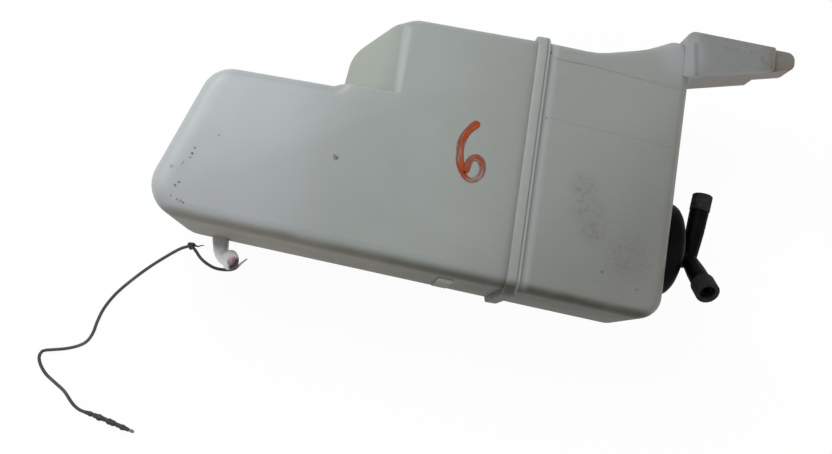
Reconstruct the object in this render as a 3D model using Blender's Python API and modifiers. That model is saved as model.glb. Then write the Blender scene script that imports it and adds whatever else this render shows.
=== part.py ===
# Coolant reservoir, lying on its back.
# +X runs from the narrow end to the filler cap, +Y to the dipped side with the tongue, +Z to the big side face.
# Pieces are set out from the weld plane (x), the lowest corner of the under side (y) and the ground (z);
# an empty then brings the middle of the whole to the origin.
import math

import bmesh
import bpy
from mathutils import Matrix, Vector

# Moulded shells
WALL = 0.0025
BODY_DEPTH = 0.077
EDGE_ROUND = 0.009
EDGE_SEGMENTS = 5
NARROW_REACH = 0.2196
NARROW_TOP = 0.1075
END_SLANT = math.radians(17.4)
UNDER_SLOPE = math.radians(3.168)
STEP_FOOT_REACH = 0.1187
STEP_REACH = 0.1152
STEP_TOP = 0.1395
SHOULDER_REACH = 0.0795
TOP_SIDE = 0.1570
WIDE_REACH = 0.0866
WIDE_SLANT = math.radians(1.1)
DIP_REACH = 0.0325
DIP_HEIGHT = 0.1560
RISE_REACH = 0.0625
RISE_HEIGHT = 0.1640
CREST_HEIGHT = 0.1785
HEEL_ROUND = 0.020
NARROW_ROUND = 0.018
STEP_ROUND = 0.013
STEP_FILLET = 0.003
SHOULDER_ROUND = 0.018
DIP_ROUND = 0.045
RISE_ROUND = 0.060
CREST_ROUND = 0.010
TOE_ROUND = 0.014
SLOPE_REACH = 0.0850
SLOPE_DROP = 0.036
RIDGE_ROUND = 0.012
RIDGE_STEPS = 4
SHARP_ANGLE = math.radians(30)

# Weld flange
FLANGE_PROUD = 0.003
LOWER_FLANGE = 0.0058
UPPER_FLANGE = 0.0018
FLANGE_EDGE = 0.0007
WELD_GAP = 0.0003

# Pad on the under side
PAD_REACH = 0.0335
PAD_LENGTH = 0.0090
PAD_PROUD = 0.0010
PAD_LOW = 0.018
PAD_HIGH = 0.066

# Mounting tongue
TONGUE_ROOT_LOW = 0.1495
TONGUE_ROOT_HIGH = 0.1776
TONGUE_TIP = 0.1528
TONGUE_SUNK = 0.0060
TONGUE_ASIDE = 0.0001
CORNER_STEPS = 5
TONGUE_TIP_LOW = 0.1655
TONGUE_TIP_HIGH = 0.1762
TONGUE_TIP_ROUND = 0.0048
TONGUE_DEEP_REACH = 0.1335
TONGUE_DEEP = 0.0260
TONGUE_SLIM = 0.0160
TONGUE_WALL = 0.0025
PLATE_REACH = 0.1390
PLATE_STEP = 0.0030
RIB_THICK = 0.0020
RIB_REACH = 0.1170

# Filler neck
NECK_ACROSS = 0.0495
NECK_UP = 0.0400
NECK_RADIUS = 0.0232
NECK_BORE = 0.0204
NECK_LENGTH = 0.0074
NECK_LIP = 0.0008

# Cap
CAP_STANDOFF = 0.0012
CAP_RADIUS = 0.0292
CAP_SKIRT_BORE = 0.0265
CAP_SKIRT_DEPTH = 0.0069
CAP_DOME_RADIUS = 0.0185
CAP_DOME_RISE = 0.0047
CAP_DISC_RADIUS = 0.0153
CAP_DISC_RISE = 0.0029
CAP_EASE = 0.0006
CAP_LEAD_START = 0.45
CAP_LEAD_END = 0.75
FIT = 0.0003
SEAL_THICK = 0.0019
HUB_RISE = 0.0085
HUB_ASIDE = 0.0035
HUB_RADIUS = 0.0056
HUB_FOOT_RADIUS = 0.0068
HUB_CROWN = 0.0045
VENT_BORE = 0.0021
CENTRE_VENT_BORE = 0.0026
SPIGOT_ROOT = 0.0046
SPIGOT_WAIST = 0.0057
SPIGOT_WAIST_SHARE = 0.55
SPIGOT_BODY = 0.0060
SPIGOT_TAIL = 0.0042
SPIGOT_TAIL_LENGTH = 0.0085
UPPER_HOSE_WALL = 0.0018
LOWER_HOSE_WALL = 0.0026
RIM_EASE = 0.0005
HOSE_OVERHANG = 0.0026
UPPER_SPIGOT_LENGTH = 0.0427
UPPER_SPIGOT_LEAN = math.radians(7.1)
LOWER_SPIGOT_LENGTH = 0.0390
LOWER_SPIGOT_LEAN = math.radians(1.5)
LOWER_SPIGOT_LIFT = math.radians(52.6)

# Outlet elbow
OUTLET_REACH = 0.1791
OUTLET_UP = 0.0160
OUTLET_LEAN = math.radians(12.0)
OUTLET_RADIUS = 0.0053
OUTLET_TIP_RADIUS = 0.0040
OUTLET_BORE = 0.0026
OUTLET_DROP = 0.0136
OUTLET_BEND = 0.0058
OUTLET_SHARE = 0.8
OUTLET_ARM = 0.0078
OUTLET_LIFT = math.radians(40.0)
MOUTH_RADIUS = 0.0064
MOUTH_THICK = 0.0022
MOUTH_BORE = 0.0036

# Wire tied to the elbow
WIRE_RADIUS = 0.0010
WIRE_FLOAT = 0.00005
KNOT_SIZE = (0.0026, 0.0022, 0.0020)
TAIL_RADIUS = 0.0006
SLEEVE_RADIUS = 0.0017
SLEEVE_LUMP = 0.0005
SLEEVE_LENGTH = 0.0300
TIP_RADIUS = 0.0012
TIP_LENGTH = 0.0028
WIRE_SPACING = 0.0050
WIRE_FINE = 0.0010
SLEEVE_SPACING = 0.0019
SLEEVE_RIPPLE = 3.1
SLEEVE_SQUARE = 0.2

# Facets and cutting room
CUT_MARGIN = 0.0200
LEAST_ROUND = 0.0015
ROUTE_STEPS = 20
ARC_STEP = math.radians(11.0)
BEND_STEPS = 6
FINE_STEPS = 48
SMALL_STEPS = 20
DOME_STEPS = 6

body_back = FLANGE_PROUD
body_front = FLANGE_PROUD + BODY_DEPTH

# Corners of the wire's route on the ground, from the knot to the tip
WIRE_ROUTE = [
    (-0.2060, 0.0056),
    (-0.2136, -0.0006),
    (-0.2228, -0.0091),
    (-0.2316, -0.0186),
    (-0.2401, -0.0293),
    (-0.2456, -0.0397),
    (-0.2480, -0.0488),
    (-0.2490, -0.0559),
    (-0.2515, -0.0617),
    (-0.2560, -0.0653),
    (-0.2634, -0.0683),
    (-0.2725, -0.0705),
    (-0.2770, -0.0718),
    (-0.2789, -0.0750),
    (-0.2771, -0.0795),
    (-0.2725, -0.0851),
    (-0.2663, -0.0893),
    (-0.2585, -0.0943),
    (-0.2523, -0.1006),
    (-0.2468, -0.1040),
    (-0.2399, -0.1053),
    (-0.2299, -0.1075),
    (-0.2207, -0.1099),
    (-0.2112, -0.1123),
]
KNOT_PLACE = (-0.1994, 0.0085)
TAIL_PLACE = (-0.1915, 0.0098)

# Corners of the wire's hook under the elbow's mouth, from the knot to its end
HOOK_ROUTE = [
    (-0.1956, 0.0054, 0.0030),
    (-0.1928, 0.0024, 0.0042),
    (-0.1897, 0.0001, 0.0060),
    (-0.1852, -0.0024, 0.0088),
    (-0.1799, -0.0037, 0.0115),
    (-0.1751, -0.0038, 0.0135),
    (-0.1699, -0.0033, 0.0148),
    (-0.1663, -0.0019, 0.0155),
    (-0.1636, 0.0008, 0.0159),
    (-0.1603, 0.0043, 0.0165),
]


# Scene and collections

def clear_scene():
    for item in list(bpy.data.objects):
        bpy.data.objects.remove(item, do_unlink=True)
    for group in list(bpy.data.collections):
        bpy.data.collections.remove(group)


def make_collection(name):
    group = bpy.data.collections.new(name)
    bpy.context.scene.collection.children.link(group)
    return group


def make_material(name, colour, roughness, metallic=0.0):
    material = bpy.data.materials.new(name)
    material.use_nodes = True
    shader = material.node_tree.nodes["Principled BSDF"]
    shader.inputs["Base Color"].default_value = (*colour, 1.0)
    shader.inputs["Roughness"].default_value = roughness
    shader.inputs["Metallic"].default_value = metallic
    return material


def add_object(name, data, group):
    item = bpy.data.objects.new(name, data)
    group.objects.link(item)
    return item


def hide_cutter(item):
    item.hide_render = True
    item.display_type = 'WIRE'


# Mesh helpers

def evaluated_mesh(item):
    bpy.context.view_layer.update()
    depsgraph = bpy.context.evaluated_depsgraph_get()
    return bpy.data.meshes.new_from_object(item.evaluated_get(depsgraph), depsgraph=depsgraph)


def tidy_mesh(mesh, merge=1e-6, flatten=False):
    mesh_data = bmesh.new()
    mesh_data.from_mesh(mesh)
    bmesh.ops.remove_doubles(mesh_data, verts=mesh_data.verts, dist=merge)
    if flatten:
        bmesh.ops.dissolve_limit(mesh_data, angle_limit=0.0005, verts=mesh_data.verts, edges=mesh_data.edges)
    bmesh.ops.recalc_face_normals(mesh_data, faces=mesh_data.faces)
    mesh_data.to_mesh(mesh)
    mesh_data.free()


def settle(item, flatten=False):
    mesh = evaluated_mesh(item)
    tidy_mesh(mesh, flatten=flatten)
    item.modifiers.clear()
    item.data = mesh


def cut(item, cutter, operation='DIFFERENCE'):
    modifier = item.modifiers.new(cutter.name, 'BOOLEAN')
    modifier.object = cutter
    modifier.operation = operation
    modifier.solver = 'EXACT'
    hide_cutter(cutter)


def set_origin(item, point):
    item.data.transform(Matrix.Translation(-Vector(point)))
    item.location = point


# Flat outline drawn in the plane square to one axis and given a thickness along it
AXIS_TURN = {
    'X': Matrix(((0, 0, 1), (1, 0, 0), (0, 1, 0))).to_4x4(),
    'Y': Matrix(((1, 0, 0), (0, 0, -1), (0, 1, 0))).to_4x4(),
    'Z': Matrix.Identity(4),
}
AXIS_WAY = {'X': Vector((1, 0, 0)), 'Y': Vector((0, 1, 0)), 'Z': Vector((0, 0, 1))}


def prism(name, outline, low, high, axis, group):
    curve = bpy.data.curves.new(name, 'CURVE')
    curve.dimensions = '2D'
    curve.fill_mode = 'BOTH'
    curve.extrude = (high - low) / 2
    spline = curve.splines.new('POLY')
    spline.points.add(len(outline) - 1)
    for point, (across, up) in zip(spline.points, outline):
        point.co = (across, up, 0, 1)
    spline.use_cyclic_u = True
    drawing = add_object(name + "_drawing", curve, group)
    mesh = evaluated_mesh(drawing)
    bpy.data.objects.remove(drawing)
    tidy_mesh(mesh, flatten=True)
    mesh.transform(Matrix.Translation(AXIS_WAY[axis] * (low + high) / 2) @ AXIS_TURN[axis])
    return add_object(name, mesh, group)


# Turned solid: the profile gives radius and height, from the top down its outer side
def turned(name, profile, base, way, steps, group, spin=0.0):
    mesh = bpy.data.meshes.new(name)
    closed = profile[0][0] > 0
    edges = [(i, i + 1) for i in range(len(profile) - 1)]
    if closed:
        edges.append((len(profile) - 1, 0))
    mesh.from_pydata([(radius, 0, height) for radius, height in profile], edges, [])
    item = add_object(name, mesh, group)
    screw = item.modifiers.new("turn", 'SCREW')
    screw.steps = steps
    screw.render_steps = steps
    screw.use_merge_vertices = True
    screw.merge_threshold = 1e-6
    settle(item)
    turn = Vector((0, 0, 1)).rotation_difference(Vector(way)).to_matrix().to_4x4()
    item.data.transform(Matrix.Translation(base) @ turn @ Matrix.Rotation(spin, 4, 'Z'))
    return item


# Smooth curve through the corners of a route, read at even steps
def smooth_route(corners, spacing):
    points = [Vector(corner) for corner in corners]
    padded = [2 * points[0] - points[1]] + points + [2 * points[-1] - points[-2]]
    fine = []
    for i in range(1, len(padded) - 2):
        a, b, c, d = padded[i - 1:i + 3]
        for step in range(ROUTE_STEPS):
            t = step / ROUTE_STEPS
            fine.append(0.5 * (2 * b + (c - a) * t + (2 * a - 5 * b + 4 * c - d) * t * t
                               + (3 * b - a - 3 * c + d) * t ** 3))
    fine.append(points[-1])
    return even_points(fine, spacing)


def even_points(fine, spacing):
    length = sum((b - a).length for a, b in zip(fine, fine[1:]))
    count = max(2, round(length / spacing))
    stride = length / count
    result = [fine[0]]
    travelled = 0.0
    for a, b in zip(fine, fine[1:]):
        run = (b - a).length
        while run > 0 and len(result) < count and travelled + run >= stride * len(result):
            share = (stride * len(result) - travelled) / run
            result.append(a.lerp(b, share))
        travelled += run
    result.append(fine[-1])
    return result


def tube(name, points, radius, group, scales=None, resolution=2):
    curve = bpy.data.curves.new(name, 'CURVE')
    curve.dimensions = '3D'
    curve.bevel_depth = radius
    curve.bevel_resolution = resolution
    curve.use_fill_caps = True
    spline = curve.splines.new('POLY')
    spline.points.add(len(points) - 1)
    for i, point in enumerate(points):
        spline.points[i].co = (*point, 1)
        spline.points[i].radius = scales[i] if scales else 1.0
    drawing = add_object(name + "_drawing", curve, group)
    mesh = evaluated_mesh(drawing)
    bpy.data.objects.remove(drawing)
    tidy_mesh(mesh)
    return add_object(name, mesh, group)


# Outline tools

def offset_corners(corners, inset):
    moved = []
    count = len(corners)
    for i in range(count):
        before = Vector(corners[i - 1])
        here = Vector(corners[i])
        after = Vector(corners[(i + 1) % count])
        way_in = (here - before).normalized()
        way_out = (after - here).normalized()
        normal_in = Vector((-way_in.y, way_in.x))
        normal_out = Vector((-way_out.y, way_out.x))
        bisector = (normal_in + normal_out).normalized()
        moved.append(here + bisector * inset / bisector.dot(normal_in))
    return moved


def rounded(corners, radii):
    points = []
    count = len(corners)
    for i, radius in enumerate(radii):
        before = Vector(corners[i - 1])
        here = Vector(corners[i])
        after = Vector(corners[(i + 1) % count])
        way_in = (here - before).normalized()
        way_out = (after - here).normalized()
        turn = way_in.angle_signed(way_out) * -1
        if radius <= 0 or abs(turn) < 0.01:
            points.append(here)
            continue
        reach = radius * math.tan(abs(turn) / 2)
        side = 1 if turn > 0 else -1
        centre = here - way_in * reach + Vector((-way_in.y, way_in.x)) * side * radius
        start = here - way_in * reach - centre
        steps = max(2, math.ceil(abs(turn) / ARC_STEP))
        for step in range(steps + 1):
            points.append(centre + Matrix.Rotation(turn * step / steps, 2) @ start)
    return points


# Lines of the tank

def under_side(x):
    return (WIDE_REACH - x) * math.tan(UNDER_SLOPE)


def wide_end(y):
    return WIDE_REACH + y * math.tan(WIDE_SLANT)


def narrow_end(y):
    return -NARROW_REACH + (y - under_side(-NARROW_REACH)) * math.tan(END_SLANT)


# Corners of the tank's outline, with the radius of each, round from the heel by the under side
def tank_corners():
    return [
        ((-NARROW_REACH, under_side(-NARROW_REACH)), HEEL_ROUND),
        ((wide_end(0), 0), TOE_ROUND),
        ((wide_end(CREST_HEIGHT), CREST_HEIGHT), CREST_ROUND),
        ((RISE_REACH, RISE_HEIGHT), RISE_ROUND),
        ((DIP_REACH, DIP_HEIGHT), -DIP_ROUND),
        ((LOWER_FLANGE, TOP_SIDE), 0),
        ((-SHOULDER_REACH, TOP_SIDE), SHOULDER_ROUND),
        ((-STEP_REACH, STEP_TOP), STEP_ROUND),
        ((-STEP_FOOT_REACH, NARROW_TOP), -STEP_FILLET),
        ((narrow_end(NARROW_TOP), NARROW_TOP), NARROW_ROUND),
    ]


def tank_outline(inset):
    corners = [corner for corner, radius in tank_corners()]
    radii = []
    for corner, radius in tank_corners():
        if radius < 0:
            radii.append(-radius + inset)
        else:
            radii.append(max(radius - inset, LEAST_ROUND) if radius else 0)
    return rounded(offset_corners(corners, inset), radii)


# The tank as one solid, drawn in by an inset, its rims rounded and the sloping shoulder taken off
def tank_block(name, inset, group):
    low = body_back + inset
    high = body_front - inset
    block = prism(name, tank_outline(inset), low, high, 'Z', group)
    round_rims(block, EDGE_ROUND - inset)
    shoulder = prism(name + "_shoulder", shoulder_section(inset), NARROW_TOP - inset,
                     CREST_HEIGHT + CUT_MARGIN, 'Y', group)
    cut(block, shoulder)
    settle(block, flatten=True)
    bpy.data.objects.remove(shoulder)
    return block


# What the sloping shoulder takes off, seen along Y: an arc leads from the front face into the slope
def shoulder_section(inset):
    high = body_front - inset
    fall = SLOPE_DROP / (STEP_REACH - SLOPE_REACH)
    tilt = math.atan(fall)
    ridge = -SLOPE_REACH + inset * (math.hypot(1, fall) - 1) / fall
    radius = RIDGE_ROUND - inset
    centre = Vector((ridge + radius * math.tan(tilt / 2), high - radius))
    step = tilt / RIDGE_STEPS
    reach = radius / math.cos(step / 2)
    arc = []
    for i in range(RIDGE_STEPS):
        angle = step * (i + 0.5)
        arc.append((centre.x - reach * math.sin(angle), centre.y + reach * math.cos(angle)))
    far = arc[-1][0] - 4 * CUT_MARGIN
    foot = arc[-1][1] - 4 * CUT_MARGIN * fall
    return arc + [(far, foot), (far, high + CUT_MARGIN), (arc[0][0], high + CUT_MARGIN)]


def round_rims(item, width):
    mesh_data = bmesh.new()
    mesh_data.from_mesh(item.data)
    rims = [edge for edge in mesh_data.edges if edge.calc_face_angle(0) > SHARP_ANGLE
            and abs(edge.verts[0].co.z - edge.verts[1].co.z) < 1e-6]
    bmesh.ops.bevel(mesh_data, geom=rims, offset=width, offset_type='OFFSET', segments=EDGE_SEGMENTS,
                    profile=0.5, affect='EDGES', clamp_overlap=False)
    bmesh.ops.remove_doubles(mesh_data, verts=mesh_data.verts, dist=1e-5)
    bmesh.ops.recalc_face_normals(mesh_data, faces=mesh_data.faces)
    mesh_data.to_mesh(item.data)
    mesh_data.free()


# Rounded section of the tank square to X at the weld, drawn out by an offset
def weld_section(out):
    low = under_side(0) - out
    high = TOP_SIDE + out
    back = body_back - out
    front = body_front + out
    corners = [(low, back), (high, back), (high, front), (low, front)]
    return rounded(corners, [EDGE_ROUND + out] * len(corners))


# Weld flange of one shell; its far edge is eased, its weld edge stays square
def flange(name, near, far, group):
    low, high = sorted((near, far))
    ring = prism(name, weld_section(FLANGE_PROUD), low, high, 'X', group)
    mesh_data = bmesh.new()
    mesh_data.from_mesh(ring.data)
    edges = [edge for edge in mesh_data.edges
             if all(abs(vert.co.x - far) < 1e-6 for vert in edge.verts) and edge.calc_face_angle(0) > 1]
    bmesh.ops.bevel(mesh_data, geom=edges, offset=FLANGE_EDGE, offset_type='OFFSET', segments=2,
                    profile=0.5, affect='EDGES')
    mesh_data.to_mesh(ring.data)
    mesh_data.free()
    return ring


# Half of the tank on one side of the weld
def half_space(name, low, high, group):
    outline = [
        (low, -CUT_MARGIN),
        (high, -CUT_MARGIN),
        (high, CREST_HEIGHT + CUT_MARGIN),
        (low, CREST_HEIGHT + CUT_MARGIN),
    ]
    return prism(name, outline, -CUT_MARGIN, body_front + CUT_MARGIN, 'Z', group)


def make_lower_shell():
    shell = tank_block("lower_shell", 0, parts)
    edge = -WELD_GAP / 2
    cut(shell, half_space("lower_half", -2 * NARROW_REACH, edge, cutters), 'INTERSECT')
    cut(shell, flange("lower_flange", edge, -LOWER_FLANGE, cutters), 'UNION')
    cut(shell, under_pad(), 'UNION')
    cut(shell, tank_block("lower_inside", WALL, cutters))
    cut(shell, outlet_hole())
    return shell


# Low pad moulded on the under side
def under_pad():
    far = -PAD_REACH
    near = far - PAD_LENGTH
    outline = [
        (near, under_side(near) - PAD_PROUD),
        (far, under_side(far) - PAD_PROUD),
        (far, under_side(far) + WALL / 2),
        (near, under_side(near) + WALL / 2),
    ]
    return prism("under_pad", outline, PAD_LOW, PAD_HIGH, 'Z', cutters)


# Where the elbow's stalk passes the under side, and the way it leaves
def outlet_root():
    return Vector((-OUTLET_REACH, under_side(-OUTLET_REACH), OUTLET_UP))


def outlet_way():
    return Vector((math.sin(OUTLET_LEAN), -math.cos(OUTLET_LEAN), 0))


def outlet_hole():
    reach = 3 * WALL
    radius = (OUTLET_RADIUS + FIT) / math.cos(math.pi / SMALL_STEPS)
    profile = [(0, reach), (radius, reach), (radius, -reach), (0, -reach)]
    return turned("outlet_hole", profile, outlet_root(), outlet_way(), SMALL_STEPS, cutters)


def make_upper_shell():
    shell = tank_block("upper_shell", 0, parts)
    edge = WELD_GAP / 2
    cut(shell, half_space("upper_half", edge, 2 * NARROW_REACH, cutters), 'INTERSECT')
    cut(shell, flange("upper_flange", edge, UPPER_FLANGE, cutters), 'UNION')
    for piece in tongue_solids():
        cut(shell, piece, 'UNION')
    cut(shell, tongue_corner())
    cut(shell, neck_solid(), 'UNION')
    cut(shell, tank_block("upper_inside", WALL, cutters))
    cut(shell, neck_bore())
    cut(shell, tongue_pocket())
    cut(shell, tongue_rib(), 'UNION')
    return shell


# Plan of the tongue between two places along it, drawn in by an inset
def tongue_plan(near, far, inset, tip_round):
    def low_side(x):
        share = (x - wide_end(TONGUE_ROOT_LOW)) / (TONGUE_TIP - wide_end(TONGUE_ROOT_LOW))
        return TONGUE_ROOT_LOW + share * (TONGUE_TIP_LOW - TONGUE_ROOT_LOW) + inset

    def high_side(x):
        share = (x - wide_end(TONGUE_ROOT_HIGH)) / (TONGUE_TIP - wide_end(TONGUE_ROOT_HIGH))
        return TONGUE_ROOT_HIGH + share * (TONGUE_TIP_HIGH - TONGUE_ROOT_HIGH) - inset

    corners = [(near, low_side(near)), (far, low_side(far)), (far, high_side(far)), (near, high_side(near))]
    return rounded(corners, [0, tip_round, tip_round, 0])


def tongue_start():
    return wide_end(TONGUE_ROOT_LOW) - TONGUE_SUNK


# Front face of the tongue's plate, its slimmer tip and its deep root
def tongue_solids():
    root = tongue_start()
    step = body_front - PLATE_STEP
    back = body_front - TONGUE_DEEP
    slim = body_front - TONGUE_SLIM
    plate = prism("tongue_plate", tongue_plan(root, PLATE_REACH, 0, TONGUE_WALL / 2),
                  step - TONGUE_WALL, body_front, 'Z', cutters)
    tip = prism("tongue_tip", tongue_plan(root, TONGUE_TIP, 0, TONGUE_TIP_ROUND), slim, step, 'Z', cutters)
    deep = prism("tongue_root", tongue_plan(root, TONGUE_DEEP_REACH, 0, TONGUE_WALL / 2),
                 back, step, 'Z', cutters)
    return tip, deep, plate


# Takes the tongue's upper root corner off in an arc, down to the rounded crest
def tongue_corner():
    near = tongue_start() - TONGUE_ASIDE
    top = TONGUE_ROOT_HIGH
    outline = []
    for i in range(CORNER_STEPS + 1):
        angle = math.pi / 2 * i / CORNER_STEPS
        outline.append((near + TONGUE_SUNK * (1 - math.cos(angle)), top - TONGUE_SUNK * (1 - math.sin(angle))))
    outline.append((near + TONGUE_SUNK, top + CUT_MARGIN))
    outline.append((near, top + CUT_MARGIN))
    return prism("tongue_corner", outline, 0, body_front + CUT_MARGIN, 'Z', cutters)


# The tongue is open behind
def tongue_pocket():
    near = wide_end(CREST_HEIGHT) + TONGUE_WALL
    outline = tongue_plan(near, TONGUE_TIP - TONGUE_WALL, TONGUE_WALL, TONGUE_TIP_ROUND - TONGUE_WALL)
    top = body_front - PLATE_STEP - TONGUE_WALL
    return prism("tongue_pocket", outline, -TONGUE_DEEP, top, 'Z', cutters)


def tongue_rib():
    outline = tongue_plan(RIB_REACH, RIB_REACH + RIB_THICK, TONGUE_WALL / 2, 0)
    return prism("tongue_rib", outline, body_front - TONGUE_SLIM, body_front - PLATE_STEP - TONGUE_WALL / 2,
                 'Z', cutters)


# Filler neck, along +X from the wide end wall
def neck_base():
    return Vector((wide_end(NECK_ACROSS), NECK_ACROSS, NECK_UP))


def neck_solid():
    sunk = WALL / 2
    profile = [
        (0, NECK_LENGTH),
        (NECK_RADIUS - NECK_LIP, NECK_LENGTH),
        (NECK_RADIUS, NECK_LENGTH - NECK_LIP),
        (NECK_RADIUS, -sunk),
        (0, -sunk),
    ]
    return turned("neck_outside", profile, neck_base(), (1, 0, 0), FINE_STEPS, cutters)


def neck_bore():
    reach = 2 * NECK_LENGTH
    profile = [(0, reach), (NECK_BORE, reach), (NECK_BORE, -reach), (0, -reach)]
    return turned("neck_bore", profile, neck_base(), (1, 0, 0), FINE_STEPS, cutters)


# Heights of the cap are measured from the end wall, along the neck
def seal_height():
    return NECK_LENGTH + FIT


def ceiling_height():
    return seal_height() + SEAL_THICK + FIT


def disc_height():
    return ceiling_height() + CAP_DOME_RISE


def hub_point():
    return neck_base() + Vector((disc_height() + CAP_DISC_RISE + HUB_RISE, -HUB_ASIDE, 0))


def upper_way():
    return Vector((math.sin(UPPER_SPIGOT_LEAN), math.cos(UPPER_SPIGOT_LEAN), 0))


def lower_way():
    along = math.cos(LOWER_SPIGOT_LIFT) * math.cos(LOWER_SPIGOT_LEAN)
    return Vector((math.sin(LOWER_SPIGOT_LEAN), -along, math.sin(LOWER_SPIGOT_LIFT))).normalized()


def dome_points(start_radius, start_height, end_radius, end_height, count):
    points = []
    for i in range(count + 1):
        angle = math.pi / 2 * i / count
        radius = start_radius + (end_radius - start_radius) * math.sin(angle)
        height = end_height + (start_height - end_height) * math.cos(angle)
        points.append((radius, height))
    return points


def make_cap():
    disc = disc_height()
    top = disc + CAP_DISC_RISE
    foot = CAP_STANDOFF
    skirt_top = foot + CAP_SKIRT_DEPTH
    inner = NECK_RADIUS + FIT
    profile = [
        (0, top),
        (CAP_DISC_RADIUS - CAP_EASE, top),
        (CAP_DISC_RADIUS, top - CAP_EASE),
        (CAP_DISC_RADIUS, disc),
    ]
    profile += dome_points(CAP_DOME_RADIUS, disc, CAP_RADIUS, skirt_top, DOME_STEPS)
    profile += [
        (CAP_RADIUS, foot + CAP_EASE),
        (CAP_RADIUS - CAP_EASE, foot),
        (CAP_SKIRT_BORE, foot),
        (CAP_SKIRT_BORE, foot + CAP_LEAD_START * CAP_SKIRT_DEPTH),
        (inner, foot + CAP_LEAD_END * CAP_SKIRT_DEPTH),
        (inner, ceiling_height()),
        (0, ceiling_height()),
    ]
    cap = turned("cap", profile, neck_base(), (1, 0, 0), FINE_STEPS, parts)
    cut(cap, hub_solid(), 'UNION')
    cut(cap, spigot_solid("upper_spigot", upper_way(), UPPER_SPIGOT_LENGTH), 'UNION')
    cut(cap, spigot_solid("lower_spigot", lower_way(), LOWER_SPIGOT_LENGTH), 'UNION')
    settle(cap)
    cut(cap, joined_vents())
    return cap


# Both vents and the way down through the ceiling, as one cutter
def joined_vents():
    joined = centre_vent()
    for branch in (
        vent("upper_vent", upper_way(), UPPER_SPIGOT_LENGTH),
        vent("lower_vent", lower_way(), LOWER_SPIGOT_LENGTH),
    ):
        cut(joined, branch, 'UNION')
    settle(joined)
    return joined


def hub_solid():
    sunk = HUB_RISE + CAP_DISC_RISE / 2
    profile = [(0, HUB_CROWN)]
    for i in range(1, DOME_STEPS + 1):
        angle = math.pi / 2 * i / DOME_STEPS
        profile.append((HUB_RADIUS * math.sin(angle), HUB_CROWN * math.cos(angle)))
    profile += [(HUB_FOOT_RADIUS, -sunk), (0, -sunk)]
    return turned("hub", profile, hub_point(), (1, 0, 0), SMALL_STEPS, cutters)


def spigot_solid(name, way, length):
    end = length - HOSE_OVERHANG
    shoulder = end - SPIGOT_TAIL_LENGTH
    profile = [
        (0, end),
        (SPIGOT_TAIL - RIM_EASE, end),
        (SPIGOT_TAIL, end - RIM_EASE),
        (SPIGOT_TAIL, shoulder),
        (SPIGOT_BODY - RIM_EASE, shoulder),
        (SPIGOT_BODY, shoulder - RIM_EASE),
        (SPIGOT_WAIST, shoulder * SPIGOT_WAIST_SHARE),
        (SPIGOT_ROOT, 0),
        (0, 0),
    ]
    return turned(name, profile, hub_point(), way, SMALL_STEPS, cutters)


def vent(name, way, length):
    profile = [(0, length), (VENT_BORE, length), (VENT_BORE, -VENT_BORE / 2), (0, -VENT_BORE / 2)]
    return turned(name, profile, hub_point(), way, SMALL_STEPS, cutters)


def centre_vent():
    reach = (hub_point() - neck_base()).x + VENT_BORE / 3
    base = neck_base() + Vector((0, -HUB_ASIDE, 0))
    profile = [
        (0, reach),
        (CENTRE_VENT_BORE, reach - VENT_BORE / 4),
        (CENTRE_VENT_BORE, seal_height()),
        (0, seal_height()),
    ]
    return turned("centre_vent", profile, base, (1, 0, 0), SMALL_STEPS + 2, cutters, math.radians(4))


# Flat ring between the neck's mouth and the cap's ceiling
def make_seal():
    low = seal_height()
    high = low + SEAL_THICK
    bore = NECK_BORE - FIT
    profile = [(bore, high), (NECK_RADIUS, high), (NECK_RADIUS, low), (bore, low)]
    return turned("cap_seal", profile, neck_base(), (1, 0, 0), FINE_STEPS, parts)


# Cut end of rubber hose pushed on a spigot's tail
def make_hose_end(name, way, length, wall):
    foot = length - HOSE_OVERHANG - SPIGOT_TAIL_LENGTH + FIT
    bore = SPIGOT_TAIL + FIT
    outside = bore + wall
    profile = [
        (bore, length),
        (outside - RIM_EASE, length),
        (outside, length - RIM_EASE),
        (outside, foot + RIM_EASE),
        (outside - RIM_EASE, foot),
        (bore, foot),
    ]
    return turned(name, profile, hub_point(), way, SMALL_STEPS, parts)


# Outlet elbow: a stalk from the under side, a bend, and an arm that ends in a flared mouth
def outlet_arm_way():
    return Vector((math.cos(OUTLET_LIFT), 0, math.sin(OUTLET_LIFT)))


def outlet_knee():
    return outlet_root() + outlet_way() * OUTLET_DROP


def outlet_mouth():
    return outlet_knee() + outlet_arm_way() * OUTLET_ARM


def outlet_route(overrun):
    stalk = -outlet_way() * OUTLET_BEND
    arm = outlet_arm_way() * OUTLET_BEND
    points = [
        outlet_root() - outlet_way() * (WALL * OUTLET_SHARE + overrun),
        outlet_root() + outlet_way() * (OUTLET_DROP - OUTLET_BEND) / 2,
    ]
    for i in range(BEND_STEPS + 1):
        angle = math.pi / 2 * i / BEND_STEPS
        points.append(outlet_knee() + stalk * (1 - math.sin(angle)) + arm * (1 - math.cos(angle)))
    points.append(outlet_mouth() + outlet_arm_way() * overrun)
    return points


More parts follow.
